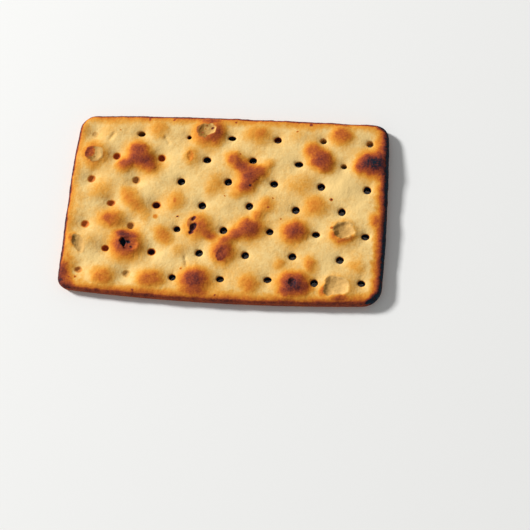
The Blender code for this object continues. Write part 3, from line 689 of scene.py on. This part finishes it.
# ---------------------------------------------------------------- material
def from_hex(code):
    """An sRGB hex colour as linear red, green, blue and full alpha."""
    channels = [int(code[n:n + 2], 16) / 255 for n in (1, 3, 5)]
    return [c / 12.92 if c <= 0.04045 else ((c + 0.055) / 1.055) ** 2.4 for c in channels] + [1.0]


def add(tree, kind, inputs=None, **settings):
    """Adds a node, with its settings and with values or links for its inputs."""
    node = tree.nodes.new(kind)
    for name, value in settings.items():
        setattr(node, name, value)
    for name, value in (inputs or {}).items():
        if isinstance(value, bpy.types.NodeSocket):
            tree.links.new(value, node.inputs[name])
        else:
            node.inputs[name].default_value = value
    return node


def mixed(tree, share, first, second):
    """The first colour, with that share of the second mixed in."""
    mix = add(tree, "ShaderNodeMix", {"Factor": share, 6: first, 7: second}, data_type="RGBA")
    return mix.outputs[2]


# From dough that stayed low to burnt: how far browned, and the colour. The last, navy-black stops are
# burnt crust with painted deep shade, for the hole walls, the dark pits and the right rim.
BAKED_COLOURS = (
    (0.00, "#eeca84"), (0.06, "#e9bd72"), (0.12, "#e6b15f"), (0.18, "#e3a54a"), (0.26, "#de9638"),
    (0.38, "#d17d29"), (0.48, "#be6426"), (0.58, "#a64f27"), (0.68, "#8c3e28"), (0.78, "#672f28"),
    (0.86, "#43262b"), (0.93, "#14202a"), (1.00, "#192f3e"),
)
# The open crumb, pale and darker, its darker colour brown and partly painted shade, how fast it darkens,
# and the painted orange-red of thin dough with the light behind it
CRUMB_PALE, CRUMB_BROWN_AND_SHADE = "#efc074", "#94682c"
CRUMB_DARKENS_BY = 2.0
PAINTED_LIT_DOUGH = "#ec7636"
# The crust is mottled by clouds, by flecks and by its grain: their size, how many finer sizes ride on
# them, how strongly they show on pale dough, and how much more so once it is brown. The real grain is
# about 0.2 mm, too fine to show, and is drawn 0.5 mm coarse.
MOTTLING = ((7 * MM, 2, 0.30, -0.1), (1.3 * MM, 2, 0.11, 0.24), (0.5 * MM, 3, 0.14, 0.34))
MIDDLE_OF_NOISE = 0.5
LEAST_BROWN = 0.02
# Dry and without fat on it, the crust hardly gleams, and its grain roughens what gleam there is
CRUST_ROUGHNESS, CRUST_IOR, CRUST_SPECULAR = 0.78, 1.45, 0.1
GRAIN_RELIEF, GRAIN_HEIGHT = 0.7, 0.14 * MM


def baked_crust():
    """Water-cracker dough of flour and water, baked dry: a matt starch crust, cream where it lay low,
    gold to dark brown where it rose nearest the heat, mottled and grainy, near-black where burnt crust
    carries painted deep shade in the holes, pits and right rim, with an open crumb in the broken blisters,
    olive where its shade is painted, and a painted orange-red light in the shallow holes."""
    crust = bpy.data.materials.new("baked_cracker_crust")
    crust.use_nodes = True
    tree = crust.node_tree
    shader = tree.nodes["Principled BSDF"]
    place = add(tree, "ShaderNodeTexCoord").outputs["Object"]
    browned, in_crumb, painted_lit_through = (
        add(tree, "ShaderNodeAttribute", attribute_name=name).outputs["Fac"]
        for name in ("browned", "crumb", "painted_glow"))
    textures = [
        add(tree, "ShaderNodeTexNoise",
            {"Vector": place, "Scale": 1 / size, "Detail": detail}).outputs["Fac"]
        for size, detail, _, _ in MOTTLING]

    toast = add(tree, "ShaderNodeMath", {0: browned, 1: LEAST_BROWN}, operation="ADD").outputs[0]
    for texture, (_, _, on_pale, more_on_brown) in zip(textures, MOTTLING):
        off_middle = add(tree, "ShaderNodeMath", {0: texture, 1: MIDDLE_OF_NOISE},
                         operation="SUBTRACT").outputs[0]
        share = add(tree, "ShaderNodeMath", {0: browned, 1: more_on_brown, 2: on_pale},
                    operation="MULTIPLY_ADD").outputs[0]
        toast = add(tree, "ShaderNodeMath", {0: off_middle, 1: share, 2: toast},
                    operation="MULTIPLY_ADD").outputs[0]
    ramp = add(tree, "ShaderNodeValToRGB", {"Fac": toast})
    stops = ramp.color_ramp.elements
    while len(stops) < len(BAKED_COLOURS):
        stops.new(1.0)
    for stop, (position, code) in zip(stops, BAKED_COLOURS):
        stop.position = position
        stop.color = from_hex(code)
    # The crumb darkens to olive with browning, which in hollows and holes is partly painted shade
    crumb_browned_and_shaded = add(tree, "ShaderNodeMath", {0: toast, 1: CRUMB_DARKENS_BY},
                        operation="MULTIPLY", use_clamp=True).outputs[0]
    colour = ramp.outputs["Color"]
    crumb_colour = mixed(tree, crumb_browned_and_shaded, from_hex(CRUMB_PALE), from_hex(CRUMB_BROWN_AND_SHADE))
    colour = mixed(tree, in_crumb, colour, crumb_colour)
    # Painted light: the orange-red glow of light through thin dough in the shallow holes
    colour = mixed(tree, painted_lit_through, colour, from_hex(PAINTED_LIT_DOUGH))
    tree.links.new(colour, shader.inputs["Base Color"])
    shader.inputs["Roughness"].default_value = CRUST_ROUGHNESS
    shader.inputs["IOR"].default_value = CRUST_IOR
    shader.inputs["Specular IOR Level"].default_value = CRUST_SPECULAR
    grain = add(tree, "ShaderNodeBump", {
        "Height": textures[-1], "Strength": GRAIN_RELIEF, "Distance": GRAIN_HEIGHT})
    tree.links.new(grain.outputs["Normal"], shader.inputs["Normal"])
    return crust


# ---------------------------------------------------------------- the cracker
# The flat underside needs the fewest faces, so they are thinned out there, to this share of them all
FLAT_BELOW, FACES_KEPT = 0.08 * MM, 0.62
# The upper side by height, its edge by the distance in from the outline, and the faces that look down
UPPER_HEIGHT, EDGE_INSET = (0.4 * MM, 1.5 * MM), (3 * MM, 0.5 * MM)
DOWNWARD = -0.999

deselect()
cracker = cut_blank()
remesh(cracker)
bow_sides(cracker)
pins = docker_pins()
raise_dough(cracker, pins)
cut_out(cracker, burst_plugs(BURSTS, BURST_RAGGED), merge_to=FINEST_BURST)
cut_out(cracker, burst_plugs(PITS, PIT_RAGGED), merge_to=FINEST_PIT)
cut_out(cracker, pin_plugs(pins))
remesh(cracker)

flat = vertex_places(cracker)[:, 2] < FLAT_BELOW
apply_modifier(cracker, "DECIMATE", decimate_type="COLLAPSE", ratio=FACES_KEPT,
               vertex_group=weighted(cracker, "underside", flat.astype(float)))
broken = bake(cracker, pins)

places = vertex_places(cracker)
upper = step_between(places[:, 2], *UPPER_HEIGHT)
_, inset = side_distances(*on_pattern(places))
# What makes the surface uneven: the size of the lumps, their height, and where they are
for name, size, height, where in (
    ("uneven_edge", 4.5 * MM, 0.35 * MM, upper * step_between(inset, *EDGE_INSET)),
    ("dough_lumps", 2.2 * MM, 0.15 * MM, upper),
    ("dough_grain", 0.8 * MM, 0.12 * MM, upper),
    ("open_crumb", 1.1 * MM, 0.24 * MM, broken),
    ("crumb_flakes", 0.6 * MM, 0.14 * MM, broken),
):
    roughen(cracker, name, size, height, where)

# Nothing hangs below the board that the cracker lies on, and its underside stays flat
places = vertex_places(cracker)
places[:, 2] = np.maximum(places[:, 2], 0)
set_vertex_places(cracker, places)
select_where(cracker, "FACE", lambda face: face.normal.z < DOWNWARD)
bpy.ops.mesh.faces_shade_flat()
bpy.ops.object.mode_set(mode="OBJECT")
cracker.data.materials.clear()
cracker.data.materials.append(baked_crust())

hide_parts("cracker")
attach(cracker, "root")

# ---------------------------------------------------------------- floor, light and camera
# A matt, pale floor lies a hair's breadth under the cracker
FLOOR_SIZE, FLOOR_GAP = 4.0, 0.02 * MM
FLOOR_COLOUR, FLOOR_ROUGHNESS = "#f0f0ee", 0.9
bpy.ops.mesh.primitive_plane_add(size=FLOOR_SIZE, location=(0, 0, -FLOOR_GAP))
floor = bpy.context.object
floor.name = "floor"
paint = bpy.data.materials.new("pale_floor")
paint.use_nodes = True
paint_shader = paint.node_tree.nodes["Principled BSDF"]
paint_shader.inputs["Base Color"].default_value = from_hex(FLOOR_COLOUR)
paint_shader.inputs["Roughness"].default_value = FLOOR_ROUGHNESS
floor.data.materials.append(paint)

# White light from all round
ROUND_LIGHT = 0.32
world = bpy.data.worlds.new("soft_studio")
bpy.context.scene.world = world
world.use_nodes = True
background = world.node_tree.nodes["Background"]
background.inputs["Color"].default_value = (1, 1, 1, 1)
background.inputs["Strength"].default_value = ROUND_LIGHT

# The main light stands at the left and a little to the back: how far off, where, how large, and its
# power in watts
KEY_DISTANCE = 2.0
KEY_BEARING, KEY_ELEVATION = math.radians(157), math.radians(33)
KEY_SIZE, KEY_POWER = 0.32, 50
bpy.ops.object.light_add(type="AREA", location=(
    KEY_DISTANCE * math.cos(KEY_ELEVATION) * math.cos(KEY_BEARING),
    KEY_DISTANCE * math.cos(KEY_ELEVATION) * math.sin(KEY_BEARING),
    KEY_DISTANCE * math.sin(KEY_ELEVATION)))
key = bpy.context.object
key.name = "key_light"
key.data.size = KEY_SIZE
key.data.energy = KEY_POWER
key.rotation_euler = (-key.location).to_track_quat("-Z", "Y").to_euler()

# The camera stands over the cracker's front right, as it did for the photograph: its place from the
# middle of the docker's pattern in mm, how it is turned, and its sensor and focal length in mm
EYE = (40.9, -87.6, 265.7)
CAMERA_BEARING, CAMERA_ELEVATION, CAMERA_ROLL = (math.radians(turn) for turn in (-68.19, 73.68, -18.05))
SENSOR, FOCAL_LENGTH = 36, 67.92
camera_data = bpy.data.cameras.new("camera")
camera_data.sensor_width = SENSOR
camera_data.lens = FOCAL_LENGTH
camera = bpy.data.objects.new("camera", camera_data)
bpy.context.scene.collection.objects.link(camera)
camera.matrix_world = (
    Matrix.Translation((EYE[0] * MM + PATTERN_CENTRE[0], EYE[1] * MM + PATTERN_CENTRE[1], EYE[2] * MM))
    @ Matrix.Rotation(CAMERA_BEARING + math.pi / 2, 4, "Z")
    @ Matrix.Rotation(math.pi / 2 - CAMERA_ELEVATION, 4, "X")
    @ Matrix.Rotation(CAMERA_ROLL, 4, "Z"))
bpy.context.scene.camera = camera
bpy.context.scene.view_settings.view_transform = "Standard"
